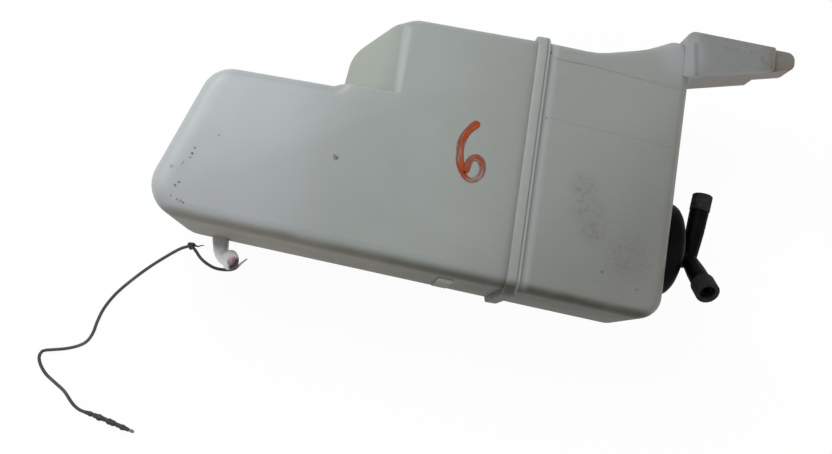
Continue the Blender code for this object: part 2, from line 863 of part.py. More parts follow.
def make_outlet_elbow():
    points = outlet_route(0)
    last = len(points) - 1
    taper = OUTLET_TIP_RADIUS / OUTLET_RADIUS
    scales = [1 + (taper - 1) * min(1, 2 * i / last) for i in range(last + 1)]
    elbow = tube("outlet_elbow", points, OUTLET_RADIUS, parts, scales, resolution=4)
    profile = [
        (0, MOUTH_THICK),
        (MOUTH_RADIUS - RIM_EASE, MOUTH_THICK),
        (MOUTH_RADIUS, MOUTH_THICK - RIM_EASE),
        (MOUTH_RADIUS, RIM_EASE),
        (MOUTH_RADIUS - RIM_EASE, 0),
        (OUTLET_TIP_RADIUS - RIM_EASE, -RIM_EASE),
        (0, -RIM_EASE),
    ]
    cut(elbow, turned("outlet_mouth", profile, outlet_mouth(), outlet_arm_way(), SMALL_STEPS, cutters), 'UNION')
    cut(elbow, tube("outlet_bore", outlet_route(2 * MOUTH_THICK), OUTLET_BORE, cutters, resolution=3))
    flare = [
        (0, MOUTH_THICK + RIM_EASE),
        (MOUTH_BORE, MOUTH_THICK + RIM_EASE),
        (MOUTH_BORE, MOUTH_THICK - RIM_EASE),
        (OUTLET_BORE - RIM_EASE / 4, -2 * MOUTH_THICK),
        (0, -2 * MOUTH_THICK),
    ]
    cut(elbow, turned("outlet_flare", flare, outlet_mouth(), outlet_arm_way(), SMALL_STEPS, cutters))
    return elbow


# Wire, with its knot, taped sleeve and bare tip
def ground_point(place, radius):
    return Vector((place[0], place[1], radius + WIRE_FLOAT))


def knot_centre():
    return ground_point(KNOT_PLACE, KNOT_SIZE[2])


# Point just outside the knot on the way to another point
def beside_knot(target):
    way = (Vector(target) - knot_centre()).normalized()
    reach = 1 / math.sqrt(sum((way[i] / KNOT_SIZE[i]) ** 2 for i in range(3)))
    return knot_centre() + way * (reach + WELD_GAP)


def wire_run():
    corners = [ground_point(place, WIRE_RADIUS) for place in WIRE_ROUTE]
    return smooth_route([beside_knot(corners[0])] + corners, WIRE_FINE)


# Stretch of a route between two distances along it
def stretch(points, start, end):
    result = []
    travelled = 0.0
    for a, b in zip(points, points[1:]):
        run = (b - a).length
        if travelled <= start < travelled + run:
            result.append(a.lerp(b, (start - travelled) / run))
        elif start < travelled < end:
            result.append(a)
        if travelled < end <= travelled + run:
            result.append(a.lerp(b, (end - travelled) / run))
        travelled += run
    return result


def route_length(points):
    return sum((b - a).length for a, b in zip(points, points[1:]))


# Points along a lumpy piece that lies on the ground
def laid(points, radius, scales):
    return [Vector((point.x, point.y, radius * scale + WIRE_FLOAT)) for point, scale in zip(points, scales)]


def make_wire():
    run = wire_run()
    whole = route_length(run) - WIRE_FLOAT
    tip_start = whole - TIP_LENGTH
    sleeve_start = tip_start - WELD_GAP - SLEEVE_LENGTH
    wire = tube("wire", even_points(stretch(run, 0, sleeve_start - WELD_GAP), WIRE_SPACING), WIRE_RADIUS, parts)
    covered = even_points(stretch(run, sleeve_start, sleeve_start + SLEEVE_LENGTH), SLEEVE_SPACING)
    last = len(covered) - 1
    lump = SLEEVE_LUMP / SLEEVE_RADIUS
    swell = [1 + lump * math.sin(SLEEVE_RIPPLE * i) * math.sin(math.pi * i / last) for i in range(last + 1)]
    swell[0] = WIRE_RADIUS / SLEEVE_RADIUS
    swell[-1] = TIP_RADIUS / SLEEVE_RADIUS
    covered.insert(1, covered[0].lerp(covered[1], SLEEVE_SQUARE))
    covered.insert(-1, covered[-1].lerp(covered[-2], SLEEVE_SQUARE))
    swell.insert(1, swell[0])
    swell.insert(-1, swell[-1])
    sleeve = tube("wire_sleeve", laid(covered, SLEEVE_RADIUS, swell), SLEEVE_RADIUS, parts, swell)
    bare = even_points(stretch(run, tip_start, whole), TIP_LENGTH / 2)
    narrowing = [1.0, 1.0, WIRE_RADIUS / 2 / TIP_RADIUS]
    tip = tube("wire_tip", laid(bare, TIP_RADIUS, [1.0] * 3), TIP_RADIUS, parts, narrowing)
    return wire, sleeve, tip


# Knot with a short tail
def make_knot():
    mesh_data = bmesh.new()
    bmesh.ops.create_uvsphere(mesh_data, u_segments=12, v_segments=8, radius=1)
    mesh = bpy.data.meshes.new("wire_knot")
    mesh_data.to_mesh(mesh)
    mesh_data.free()
    mesh.transform(Matrix.Translation(knot_centre()) @ Matrix.Diagonal((*KNOT_SIZE, 1)))
    knot = add_object("wire_knot", mesh, parts)
    tail = tube("knot_tail", [knot_centre(), ground_point(TAIL_PLACE, TAIL_RADIUS)], TAIL_RADIUS, cutters)
    cut(knot, tail, 'UNION')
    return knot


def make_hook():
    corners = [beside_knot(HOOK_ROUTE[0])] + HOOK_ROUTE
    return tube("wire_hook", smooth_route(corners, WIRE_SPACING / 2), WIRE_RADIUS, parts)


# Middle of the whole, seen from above
def middle():
    outline = tank_outline(0)
    least = min(point.x for point in outline)
    lowest = outlet_mouth().y - MOUTH_RADIUS
    tongue = tongue_plan(tongue_start(), TONGUE_TIP, 0, 0)
    highest = max(point.y for point in outline + tongue)
    return Vector(((least + TONGUE_TIP) / 2, (lowest + highest) / 2, 0))


def dress(item, material, parent):
    item.data.materials.clear()
    item.data.materials.append(material)
    item.data.shade_smooth()
    item.data.set_sharp_from_angle(angle=math.radians(32))
    item.parent = parent


def main():
    anchor = add_object("reservoir_origin", None, parts)
    anchor.location = -middle()
    milky = make_material("milky_polyethylene", (0.62, 0.66, 0.65), 0.42)
    black = make_material("black_cap_plastic", (0.012, 0.012, 0.014), 0.5)
    rubber = make_material("grey_black_rubber", (0.03, 0.03, 0.031), 0.8)
    clear = make_material("cloudy_elbow_plastic", (0.66, 0.68, 0.66), 0.35)
    vinyl = make_material("black_wire_vinyl", (0.02, 0.02, 0.022), 0.5)
    tape = make_material("old_cloth_tape", (0.03, 0.03, 0.03), 0.85)
    copper = make_material("dull_wire_end", (0.2, 0.19, 0.18), 0.5, 0.6)
    dress(make_lower_shell(), milky, anchor)
    dress(make_upper_shell(), milky, anchor)
    dress(make_outlet_elbow(), clear, anchor)
    dress(make_hook(), vinyl, anchor)
    dress(make_knot(), vinyl, anchor)
    wire, sleeve, tip = make_wire()
    dress(wire, vinyl, anchor)
    dress(sleeve, tape, anchor)
    dress(tip, copper, anchor)
    cap = make_cap()
    settle(cap)
    set_origin(cap, neck_base())
    dress(cap, black, anchor)
    for item in (
        make_seal(),
        make_hose_end("upper_hose_end", upper_way(), UPPER_SPIGOT_LENGTH, UPPER_HOSE_WALL),
        make_hose_end("lower_hose_end", lower_way(), LOWER_SPIGOT_LENGTH, LOWER_HOSE_WALL),
    ):
        item.data.transform(Matrix.Translation(-neck_base()))
        dress(item, rubber, cap)
    for cutter in cutters.objects:
        cutter.parent = anchor


clear_scene()
parts = make_collection("coolant_reservoir")
cutters = make_collection("cutters")
main()
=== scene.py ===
import bpy
import math
from mathutils import Matrix, Vector


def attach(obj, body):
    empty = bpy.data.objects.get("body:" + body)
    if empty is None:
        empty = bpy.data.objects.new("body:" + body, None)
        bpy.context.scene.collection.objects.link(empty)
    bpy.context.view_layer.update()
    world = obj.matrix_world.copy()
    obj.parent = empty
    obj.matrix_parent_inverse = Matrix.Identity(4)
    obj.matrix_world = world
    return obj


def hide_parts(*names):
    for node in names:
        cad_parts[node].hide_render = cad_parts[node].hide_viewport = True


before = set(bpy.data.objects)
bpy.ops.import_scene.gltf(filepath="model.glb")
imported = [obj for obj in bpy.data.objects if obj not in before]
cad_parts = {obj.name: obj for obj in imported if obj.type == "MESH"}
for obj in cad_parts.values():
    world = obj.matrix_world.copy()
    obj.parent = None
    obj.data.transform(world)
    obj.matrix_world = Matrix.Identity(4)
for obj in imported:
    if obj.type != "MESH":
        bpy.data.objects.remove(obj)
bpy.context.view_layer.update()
mergeReach = 0.00001  # points closer than this are one
print("frame loaded")

# The tank is laid out from its weld (x), its lowest corner (y) and the ground (z)
tankShift = Vector((0.029996, -0.086375, 0))


def inTank(x, y, z):
    return Vector((x, y, z)) + tankShift


# Camera, as the photograph was taken: nearly straight down
view = {
    "eye": inTank(-0.08093, -0.04597, 0.5256),
    "right": Vector((0.98567, 0.15282, 0.07136)),
    "up": Vector((-0.16260, 0.97344, 0.16119)),
    "lens": 34.6154,
    "sensor": 36.0,
}


def setCamera():
    right = view["right"].normalized()
    up = (view["up"] - right * view["up"].dot(right)).normalized()
    back = right.cross(up)
    data = bpy.data.cameras.new("photoCamera")
    data.lens = view["lens"]
    data.sensor_width = view["sensor"]
    camera = bpy.data.objects.new("photoCamera", data)
    bpy.context.scene.collection.objects.link(camera)
    place = Matrix((right, up, back)).transposed().to_4x4()
    place.translation = view["eye"]
    camera.matrix_world = place
    bpy.context.scene.camera = camera


setCamera()
print("camera set")


# Working helpers

def deselect():
    if bpy.context.object and bpy.context.object.mode != 'OBJECT':
        bpy.ops.object.mode_set(mode='OBJECT')
    bpy.ops.object.select_all(action='DESELECT')


def takeUp(piece):
    deselect()
    piece.select_set(True)
    bpy.context.view_layer.objects.active = piece
    return piece


def current(name):
    piece = bpy.context.object
    piece.name = name
    piece.data.name = name
    return piece


def useModifier(piece, kind, **settings):
    takeUp(piece)
    modifier = piece.modifiers.new(kind.lower(), kind)
    for key, value in settings.items():
        setattr(modifier, key, value)
    bpy.ops.object.modifier_apply(modifier=modifier.name)


def facesOut(piece):
    takeUp(piece)
    bpy.ops.object.mode_set(mode='EDIT')
    bpy.ops.mesh.select_all(action='SELECT')
    bpy.ops.mesh.remove_doubles(threshold=mergeReach)
    bpy.ops.mesh.normals_make_consistent(inside=False)
    bpy.ops.object.mode_set(mode='OBJECT')


def facesUp(piece):
    takeUp(piece)
    if piece.data.polygons[0].normal.z < 0:
        bpy.ops.object.mode_set(mode='EDIT')
        bpy.ops.mesh.select_all(action='SELECT')
        bpy.ops.mesh.flip_normals()
        bpy.ops.object.mode_set(mode='OBJECT')


def smooth(piece, angle=35):
    takeUp(piece)
    bpy.ops.object.shade_smooth_by_angle(angle=math.radians(angle))


def finishPiece(piece, finish, body, slotName, *nodes):
    piece.data.materials.clear()
    piece.data.materials.append(finish)
    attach(piece, body)
    if nodes:
        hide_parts(*nodes)
    return piece


# A merged copy of a solid, so that its rounded edges shade smoothly
def mergedCopy(node, name, angle=32):
    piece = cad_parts[node].copy()
    piece.data = piece.data.copy()
    piece.parent = None
    for key in list(piece.keys()):
        del piece[key]
    piece.name = name
    piece.data.name = name
    bpy.context.scene.collection.objects.link(piece)
    takeUp(piece)
    bpy.ops.object.mode_set(mode='EDIT')
    bpy.ops.mesh.select_all(action='SELECT')
    bpy.ops.mesh.remove_doubles(threshold=mergeReach)
    bpy.ops.mesh.customdata_custom_splitnormals_clear()
    bpy.ops.object.mode_set(mode='OBJECT')
    smooth(piece, angle)
    return piece


# Curve of one open run of points
def drawRun(name, points, radius, widths=None, detail=4):
    data = bpy.data.curves.new(name, 'CURVE')
    data.dimensions = '3D'
    data.bevel_depth = radius
    data.bevel_resolution = detail
    data.use_fill_caps = True
    run = data.splines.new('POLY')
    run.points.add(len(points) - 1)
    for i, point in enumerate(points):
        run.points[i].co = (*point, 1)
        run.points[i].radius = widths[i] if widths else 1.0
    piece = bpy.data.objects.new(name, data)
    bpy.context.scene.collection.objects.link(piece)
    return piece


def asMesh(piece):
    takeUp(piece)
    bpy.ops.object.convert(target='MESH')
    return bpy.context.object


# Smooth line through corners, read at even steps
def smoothLine(corners, spacing):
    padded = [2 * corners[0] - corners[1]] + corners + [2 * corners[-1] - corners[-2]]
    fine = []
    for i in range(1, len(padded) - 2):
        a, b, c, d = padded[i - 1:i + 3]
        for step in range(20):
            t = step / 20
            fine.append(0.5 * (2 * b + (c - a) * t + (2 * a - 5 * b + 4 * c - d) * t * t
                               + (3 * b - a - 3 * c + d) * t ** 3))
    fine.append(corners[-1])
    return evenSteps(fine, spacing)


def lineLength(points):
    return sum((b - a).length for a, b in zip(points, points[1:]))


def evenSteps(fine, spacing):
    count = max(2, round(lineLength(fine) / spacing))
    stride = lineLength(fine) / count
    result = [fine[0]]
    gone = 0.0
    for a, b in zip(fine, fine[1:]):
        run = (b - a).length
        while run > 0 and len(result) < count and gone + run >= stride * len(result):
            result.append(a.lerp(b, (stride * len(result) - gone) / run))
        gone += run
    result.append(fine[-1])
    return result


def partOfLine(points, start, end):
    result = []
    gone = 0.0
    for a, b in zip(points, points[1:]):
        run = (b - a).length
        if gone <= start < gone + run:
            result.append(a.lerp(b, (start - gone) / run))
        elif start < gone < end:
            result.append(a)
        if gone < end <= gone + run:
            result.append(a.lerp(b, (end - gone) / run))
        gone += run
    return result


# The wire: its route on the ground, and its hook under the elbow's mouth
wireSizes = {
    "radius": 0.0010,
    "float": 0.00005,
    "sleeveRadius": 0.0017,
    "sleeveLength": 0.0300,
    "tipRadius": 0.0012,
    "tipLength": 0.0028,
    "gap": 0.0003,
    "knotRadius": 0.00078,
    "knotSize": 0.00068,
    "humps": ((0.16, 0.32, 0.05), (0.18, 0.55, 0.06)),
    "crease": 0.00035,
    "creaseWidth": 0.0022,
}
wireRoute = [
    (-0.2060, 0.0056),
    (-0.2136, -0.0006),
    (-0.2228, -0.0091),
    (-0.2316, -0.0186),
    (-0.2401, -0.0293),
    (-0.2456, -0.0397),
    (-0.2480, -0.0488),
    (-0.2490, -0.0559),
    (-0.2515, -0.0617),
    (-0.2560, -0.0653),
    (-0.2634, -0.0683),
    (-0.2725, -0.0705),
    (-0.2770, -0.0718),
    (-0.2785, -0.0750),
    (-0.2771, -0.0795),
    (-0.2725, -0.0851),
    (-0.2663, -0.0893),
    (-0.2585, -0.0943),
    (-0.2523, -0.1006),
    (-0.2468, -0.1040),
    (-0.2399, -0.1053),
    (-0.2299, -0.1075),
    (-0.2207, -0.1099),
    (-0.2112, -0.1123),
]
hookRoute = [
    (-0.1956, 0.0054, 0.0030),
    (-0.1928, 0.0024, 0.0042),
    (-0.1897, 0.0001, 0.0060),
    (-0.1852, -0.0024, 0.0088),
    (-0.1799, -0.0042, 0.0115),
    (-0.1751, -0.0046, 0.0135),
    (-0.1699, -0.0041, 0.0148),
    (-0.1663, -0.0025, 0.0155),
    (-0.1636, 0.0008, 0.0159),
    (-0.1603, 0.0043, 0.0165),
]
knotPlace = inTank(-0.1994, 0.0085, 0.00205)
tailPlace = inTank(-0.1915, 0.0098, 0.00065)


class Flow:
    # A socket that takes part in sums

    def __init__(self, finish, socket):
        self.finish = finish
        self.socket = socket

    def __add__(self, other):
        return self.finish.sum('ADD', self, other)

    def __radd__(self, other):
        return self.finish.sum('ADD', other, self)

    def __sub__(self, other):
        return self.finish.sum('SUBTRACT', self, other)

    def __rsub__(self, other):
        return self.finish.sum('SUBTRACT', other, self)

    def __mul__(self, other):
        return self.finish.sum('MULTIPLY', self, other)

    def __rmul__(self, other):
        return self.finish.sum('MULTIPLY', other, self)

    def __truediv__(self, other):
        return self.finish.sum('DIVIDE', self, other)


class Finish:
    # A material that is put together from sums of its nodes

    def __init__(self, name):
        self.material = bpy.data.materials.new(name)
        self.material.use_nodes = True
        self.nodes = self.material.node_tree.nodes
        self.links = self.material.node_tree.links
        self.shader = self.nodes["Principled BSDF"]
        self.place = self.make('ShaderNodeTexCoord', {}, {}, "Object")
        apart = self.make('ShaderNodeSeparateXYZ', {}, {0: self.place})
        self.x = Flow(self, apart.outputs[0])
        self.y = Flow(self, apart.outputs[1])
        self.z = Flow(self, apart.outputs[2])

    def make(self, kind, settings, feeds, output=None):
        node = self.nodes.new(kind)
        for key, value in settings.items():
            setattr(node, key, value)
        for key, value in feeds.items():
            self.feed(node.inputs[key], value)
        return node if output is None else Flow(self, node.outputs[output])

    def feed(self, socket, value):
        if isinstance(value, Flow):
            self.links.new(value.socket, socket)
        elif isinstance(value, (tuple, list, Vector)) and len(value) == 3 and len(socket.default_value) == 4:
            socket.default_value = (*value, 1.0)
        else:
            socket.default_value = value

    def sum(self, operation, a, b=0.0, clamp=False):
        settings = {"operation": operation, "use_clamp": clamp}
        return self.make('ShaderNodeMath', settings, {0: a, 1: b}, 0)

    def size(self, a):
        return self.sum('ABSOLUTE', a)

    def clamp(self, a):
        return self.sum('ADD', a, 0.0, clamp=True)

    def most(self, a, b):
        return self.sum('MAXIMUM', a, b)

    def ease(self, value, low, high, start=0.0, end=1.0):
        settings = {"interpolation_type": 'SMOOTHSTEP', "clamp": True}
        return self.make('ShaderNodeMapRange', settings, {0: value, 1: low, 2: high, 3: start, 4: end}, 0)

    def vector(self, operation, a, b=(0, 0, 0), scale=1.0, output=0):
        feeds = {0: a, 1: b}
        if operation == 'SCALE':
            feeds = {0: a, 3: scale}
        return self.make('ShaderNodeVectorMath', {"operation": operation}, feeds, output)

    def stretched(self, scale, turn=(0, 0, 0)):
        return self.make('ShaderNodeMapping', {}, {0: self.place, 2: turn, 3: scale}, 0)

    def noise(self, scale, detail=3.0, rough=0.5, at=None, twist=0.0):
        feeds = {"Vector": at or self.place, "Scale": scale, "Detail": detail,
                 "Roughness": rough, "Distortion": twist}
        return self.make('ShaderNodeTexNoise', {}, feeds, 0)

    def mix(self, factor, a, b, blend='MIX'):
        settings = {"data_type": 'RGBA', "blend_type": blend, "clamp_factor": True}
        return self.make('ShaderNodeMix', settings, {0: factor, 6: a, 7: b}, 2)

    def wobbled(self, scale, amount):
        feeds = {"Vector": self.place, "Scale": scale, "Detail": 2.0}
        colour = self.make('ShaderNodeTexNoise', {}, feeds, 1)
        offset = self.vector('SUBTRACT', colour, (0.5, 0.5, 0.5))
        return self.vector('ADD', self.place, self.vector('SCALE', offset, scale=amount))

    # 1 at a place, fading to 0 at a radius
    def spot(self, centre, radius, at=None):
        reach = self.vector('DISTANCE', at or self.place, tuple(centre), output=1)
        return self.ease(reach, radius, radius * 0.35)

    # 1 along a straight stroke between two places
    def stroke(self, start, end, width, at=None):
        run = end - start
        away = self.vector('SUBTRACT', at or self.place, tuple(start))
        along = self.vector('DOT_PRODUCT', away, tuple(run), output=1) / run.length_squared
        foot = self.vector('SCALE', tuple(run), scale=self.clamp(along))
        reach = self.vector('LENGTH', self.vector('SUBTRACT', away, foot), output=1)
        return self.ease(reach, width, width * 0.3)

    def bump(self, height, distance=0.001, strength=1.0):
        feeds = {"Height": height, "Distance": distance, "Strength": strength}
        self.feed(self.shader.inputs["Normal"], self.make('ShaderNodeBump', {}, feeds, "Normal"))

    def put(self, **values):
        for key, value in values.items():
            self.feed(self.shader.inputs[key.replace("_", " ")], value)
        return self.material


# Finishes

tankLook = {
    # the tones from cool to shade are partly the plastic's own colour, partly painted light and painted
    # shade
    "coolAndLit": (0.327, 0.334, 0.334),
    "middle": (0.262, 0.275, 0.254),
    "warmAndShaded": (0.236, 0.240, 0.220),
    "shade": (0.168, 0.168, 0.146),
    "tongue": (0.183, 0.182, 0.174),
    "sickly": (0.345, 0.365, 0.300),
    "stainAndShade": (0.212, 0.193, 0.150),
    "darkStainAndShade": (0.040, 0.036, 0.018),
    "edge": (0.410, 0.415, 0.408),
    "highlight": (0.325, 0.325, 0.335),
    "dirt": (0.060, 0.052, 0.045),
    "rustAndShade": (0.120, 0.078, 0.050),
    "seam": (0.090, 0.095, 0.085),
    "flange": (0.430, 0.465, 0.410),
    "scratch": (0.55, 0.57, 0.57),
    "cloudDark": (0.42, 0.42, 0.42),
    "cloudLight": (0.58, 0.58, 0.58),
}

# Where each tone, stain, line, painted highlight and painted shade lies, in metres
tankPlaces = {
    "front": 0.080,
    "toMiddle": (-0.130, -0.070),
    "toWarmAndShaded": (-0.040, 0.045),
    "toShade": (0.030, 0.150),
    "toTongue": (0.117, 0.124),
    "endFoot": (-0.1896, -0.0695),
    "endSlant": 0.3134,
    "endHighlight": (0.0160, 0.0060),
    "facetAlong": (-0.050, -0.068),
    "facetUp": (0.020, 0.030),
    "lowCorner": (0.1166, -0.0863),
    "lowSlope": 0.05535,
    "stainAndShadeFade": (0.0062, 0.0012),
    "stainAndShadeDeepens": (-0.170, 0.050),
    "padLeft": (-0.0132, -0.0124),
    "padRight": (-0.0027, -0.0035),
    "padOut": (0.0012, -0.0002),
    "padFront": (0.0690, 0.0670),
    "padFade": (0.0380, 0.0620, 0.25, 1.0),
    "highlightSpot": (0.1118, 0.0765),
    "highlightRadius": 0.020,
    "bandLeft": (0.0298, 0.0302),
    "bandRight": (0.0390, 0.0350),
    "bandFront": (0.074, 0.079),
    "weld": 0.0300,
    "weldWidth": (0.0009, 0.0002),
    "collarFront": (0.0806, 0.0812),
    "collarRight": (0.0305, 0.0300),
    "collarLeft": (0.0236, 0.0244),
    "tip": (0.166, 0.176),
    "tipUp": (0.0850, 0.0780, 0.60, 1.0),
    "tongueSide": (0.0805, 0.0765),
    "tongueRoot": (0.119, 0.126),
    "tongueDirtAndShade": (0.118, 0.150, 0.45, 1.0),
    "soot": (0.125, 0.150),
    "heelSpecks": [
        (-0.1607, -0.0311, 0.0010), (-0.1615, -0.0345, 0.0012), (-0.1624, -0.0367, 0.0007),
        (-0.1654, -0.0401, 0.0008), (-0.1659, -0.0418, 0.0007), (-0.1715, -0.0438, 0.0011),
        (-0.1656, -0.0518, 0.0011), (-0.1674, -0.0539, 0.0013), (-0.1685, -0.0601, 0.0008),
        (-0.1647, -0.0615, 0.0010), (-0.1629, -0.0621, 0.0013), (-0.1611, -0.0629, 0.0008),
        (-0.1491, -0.0214, 0.0008),
    ],
    "faceSpots": [
        (-0.0818, -0.0233, 0.0021), (-0.0830, -0.0222, 0.0012), (0.0278, 0.0662, 0.0009),
        (0.0326, 0.0620, 0.0014), (0.0353, 0.0215, 0.0009), (0.0306, -0.0732, 0.0009),
        (0.1084, -0.0821, 0.0016), (0.0992, -0.0703, 0.0013), (0.0782, -0.0633, 0.0014),
        (-0.0628, 0.0540, 0.0013), (-0.0718, 0.0478, 0.0012), (0.1198, 0.0575, 0.0012),
        (0.1227, 0.0615, 0.0010), (0.1459, 0.0651, 0.0012), (0.1579, 0.0699, 0.0011),
        (0.1739, 0.0787, 0.0010),
    ],
    "spotDepth": 0.0003,
    "patches": [
        (0.0660, -0.0289, 0.0150), (0.0923, -0.0529, 0.0190), (0.0702, -0.0400, 0.0120),
        (0.0619, -0.0150, 0.0110),
    ],
    "mouldLines": [
        ((0.0358, 0.0588), (0.0459, 0.0581), 0.0006, 0.8),
        ((0.0459, 0.0581), (0.0538, 0.0583), 0.0008, 1.0),
        ((0.0538, 0.0583), (0.1175, 0.0524), 0.0006, 0.6),
        ((0.0371, 0.0218), (0.1162, 0.0160), 0.0006, 0.35),
        ((0.0938, 0.0557), (0.1166, 0.0548), 0.0005, 0.5),
        ((0.1226, 0.0566), (0.1196, 0.0830), 0.0022, 0.75),
    ],
}


def tankTones(tank):
    look = tankLook
    places = tankPlaces
    # cool and pale at the narrow end, warmer and darker towards the cap and the low corner: partly the
    # plastic's own tone, partly painted light at the narrow end and painted shade towards the right and the
    # low side
    drift = tank.x + (tank.noise(9, 2) - 0.5) * 0.05
    colour = tank.mix(tank.ease(drift, *places["toMiddle"]), look["coolAndLit"], look["middle"])
    colour = tank.mix(tank.ease(drift, *places["toWarmAndShaded"]), colour, look["warmAndShaded"])
    colour = tank.mix(tank.ease(drift - tank.y * 0.8, *places["toShade"]), colour, look["shade"])
    colour = tank.mix(tank.ease(tank.x, *places["toTongue"]) * 0.9, colour, look["tongue"])
    # painted highlight: the slanted end is painted paler, where light gathers on it
    endX, endY = places["endFoot"]
    end = tank.x - endX - (tank.y - endY) * places["endSlant"]
    colour = tank.mix(tank.ease(end, *places["endHighlight"]) * 0.9, colour, look["edge"])
    facet = tank.ease(tank.x, *places["facetAlong"]) * tank.ease(tank.y, *places["facetUp"])
    colour = tank.mix(facet * 0.75, colour, look["sickly"])
    cloud = tank.mix(tank.noise(26, 4, 0.6, twist=0.4), look["cloudDark"], look["cloudLight"])
    return tank.mix(0.5, colour, cloud, 'SOFT_LIGHT')


# Brown film and painted shade on the low side, darkest towards the right; the pad is painted paler
def tankStainAndShade(tank, colour):
    look = tankLook
    places = tankPlaces
    cornerX, cornerY = places["lowCorner"]
    low = tank.y - cornerY + (tank.x - cornerX) * places["lowSlope"]
    stainAndShade = tank.ease(low + (tank.noise(45, 3) - 0.5) * 0.003, *places["stainAndShadeFade"])
    stainAndShade = stainAndShade * (0.78 + 0.35 * tank.noise(60, 4, 0.65))
    # towards the right the colour deepens into painted shade as well as darker film
    stainAndShadeColour = tank.mix(tank.ease(tank.x, *places["stainAndShadeDeepens"]), look["stainAndShade"], look["darkStainAndShade"])
    colour = tank.mix(tank.clamp(stainAndShade), colour, stainAndShadeColour)
    pad = tank.ease(tank.x, *places["padLeft"]) * tank.ease(tank.x, *places["padRight"])
    pad = pad * tank.ease(low, *places["padOut"])
    pad = pad * tank.ease(tank.z, *places["padFront"]) * tank.ease(tank.z, *places["padFade"])
    return tank.mix(pad * 0.30, colour, look["flange"]), stainAndShade


# A painted highlight before the tongue, and a pale band beside the weld
def tankHighlightAndBand(tank, colour):
    places = tankPlaces
    # painted highlight where the front turns towards the light
    highlight = tank.spot((*places["highlightSpot"], places["front"]), places["highlightRadius"])
    colour = tank.mix(highlight * 0.45, colour, tankLook["highlight"])
    band = tank.ease(tank.x, *places["bandLeft"]) * tank.ease(tank.x, *places["bandRight"])
    band = band * tank.ease(tank.z, *places["bandFront"])
    return tank.mix(band * 0.32, colour, tankLook["edge"])


# Blotches, scattered grains, and specks in their own places
def tankDirt(tank, colour):
    places = tankPlaces
    dirt = tankLook["dirt"]
    front = places["front"]
    wobble = tank.wobbled(180, 0.004)
    patch = 0.0
    for x, y, radius in places["patches"]:
        patch = tank.most(tank.spot((x, y, front), radius, wobble), patch)
    mottle = tank.ease(tank.noise(420, 4, 0.7), 0.46, 0.66)
    colour = tank.mix(patch * (0.08 + 0.24 * mottle), colour, dirt)
    grain = tank.ease(tank.noise(900, 2, 0.6), 0.66, 0.76) * tank.ease(tank.noise(35, 2), 0.45, 0.65)
    colour = tank.mix(grain * 0.28, colour, dirt)
    fineWobble = tank.wobbled(500, 0.0016)
    marks = 0.0
    for x, y, radius in places["heelSpecks"] + places["faceSpots"]:
        place = (x, y, front - places["spotDepth"])
        marks = tank.most(tank.spot(place, radius * 0.75 + 0.0003, fineWobble), marks)
    crumbs = tank.ease(tank.noise(600, 2, 0.6), 0.30, 0.52)
    return tank.mix(marks * crumbs * 0.85, colour, dirt), marks


# Lines left by the mould, the paler flange, and the darker seam at the weld
def tankLines(tank, colour):
    look = tankLook
    places = tankPlaces
    front = places["front"]
    wobble = tank.wobbled(60, 0.0012)
    lines = 0.0
    for start, end, width, depth in places["mouldLines"]:
        stroke = tank.stroke(Vector((*start, front)), Vector((*end, front)), width, wobble)
        lines = tank.most(stroke * depth, lines)
    colour = tank.mix(lines * (0.25 + 0.45 * tank.noise(300, 3)), colour, look["seam"])
    collar = tank.ease(tank.z, *places["collarFront"]) * tank.ease(tank.x, *places["collarRight"])
    collar = collar * tank.ease(tank.x, *places["collarLeft"])
    colour = tank.mix(collar * (0.02 + 0.16 * tank.noise(180, 3)), colour, look["flange"])
    seam = tank.ease(tank.size(tank.x - places["weld"]), *places["weldWidth"])
    return tank.mix(seam * 0.45, colour, look["seam"]), lines


# Rust and soot on the tongue; its lower side is darkened as brown dirt and painted shade
def tankRustAndShade(tank, colour):
    places = tankPlaces
    tip = tank.ease(tank.x + tank.noise(160, 3) * 0.012, *places["tip"])
    # the tongue's lower side: brown dirt and painted shade
    under = tank.ease(tank.z + tank.noise(120, 3) * 0.006, *places["tongueSide"])
    under = under * tank.ease(tank.x, *places["tongueRoot"])
    tip = tip * tank.ease(tank.y, *places["tipUp"])
    stain = tank.most(tip, under * tank.ease(tank.x, *places["tongueDirtAndShade"]))
    stain = tank.clamp(stain * (0.42 + 0.5 * tank.noise(220, 4, 0.65)))
    colour = tank.mix(stain, colour, tankLook["rustAndShade"])
    soot = tank.ease(tank.noise(330, 4, 0.7), 0.56, 0.70) * tank.ease(tank.x, *places["soot"])
    return tank.mix(soot * 0.6, colour, tankLook["dirt"])


def tankScratches(tank, colour):
    scratch = tank.noise(40, 2, 0.5, tank.stretched((1, 34, 6), (0, 0, 0.5)))
    scratch = tank.ease(tank.size(scratch - 0.5), 0.010, 0.003)
    scratch = scratch * tank.ease(tank.noise(22, 2), 0.52, 0.62)
    return tank.mix(scratch * 0.10, colour, tankLook["scratch"])


def tankFinish():
    tank = Finish("stainedMilkyPlastic")
    colour, stainAndShade = tankStainAndShade(tank, tankTones(tank))
    colour, marks = tankDirt(tank, tankHighlightAndBand(tank, colour))
    colour, lines = tankLines(tank, colour)
    colour = tankScratches(tank, tankRustAndShade(tank, colour))
    rough = 0.40 + 0.12 * tank.noise(130, 4, 0.6) + 0.15 * stainAndShade + 0.2 * marks
    skin = tank.noise(1200, 3, 0.6) * 0.05 + tank.noise(55, 3) * 0.6 - lines * 0.35 + marks * 0.15
    tank.bump(skin, 0.00045, 0.55)
    return tank.put(Base_Color=colour, Roughness=tank.clamp(rough), Subsurface_Weight=0.18,
                    Subsurface_Radius=(0.9, 1.0, 0.9), Subsurface_Scale=0.006, IOR=1.5)


